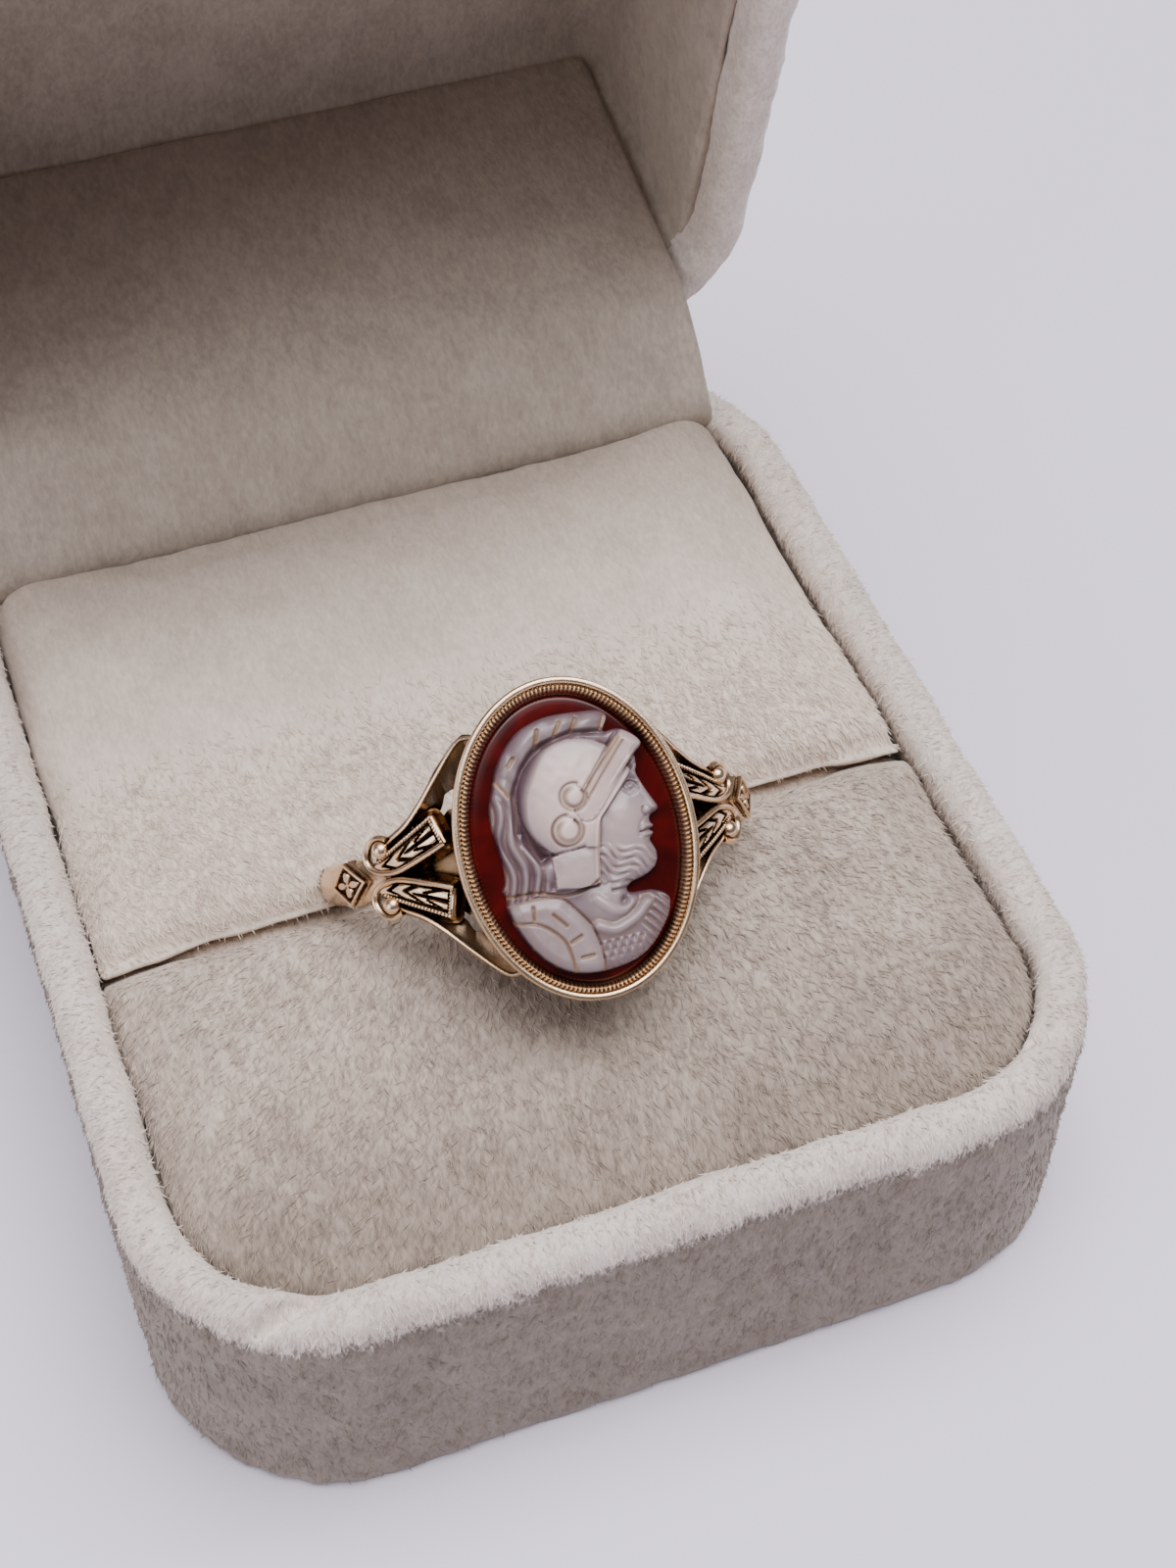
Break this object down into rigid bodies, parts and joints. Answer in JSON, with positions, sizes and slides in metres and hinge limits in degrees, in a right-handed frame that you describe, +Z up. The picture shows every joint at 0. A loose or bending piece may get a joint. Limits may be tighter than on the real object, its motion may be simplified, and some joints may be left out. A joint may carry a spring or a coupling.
{
  "type": "cameo ring in ring box",
  "caption": "Cameo ring with an oval layered stone in a milgrain setting on pierced leaf shoulders, standing in the slot of an open velvet ring box with a hinged lid.",
  "frame": {"origin": "middle of the underside of the box's base", "axes": "+Z up, the box opens towards -Y, +X along the hinge to the right as seen from the front"},
  "size_m": [0.044, 0.068, 0.0673],
  "materials": {
    "velvet": "short-pile velvet",
    "velvet_pad": "short-pile velvet",
    "velvet_lining": "short-pile velvet",
    "gold": "polished rose gold, darkened in the recesses",
    "stone_red": "polished",
    "stone_white": "satin, carved",
    "steel": "satin"
  },
  "bodies": {
    "base": {"box_base": "velvet", "pad_front": "velvet_pad", "pad_rear": "velvet_pad", "ring_mount": "gold", "cameo_ground": "stone_red", "cameo_relief": "stone_white", "hinge_pin": "steel", "hinge_flap": "velvet_lining"},
    "lid": {"box_lid": "velvet", "lid_lining": "velvet_lining"}
  },
  "joints": [
    {"name": "lid_hinge", "type": "hinge", "parent": "base", "child": "lid", "pos_m": [0, 0.0255, 0.01415], "axis": [-1, 0, 0], "range_deg": [-74.5, 15.5], "deforming": ["hinge_flap"]}
  ]
}
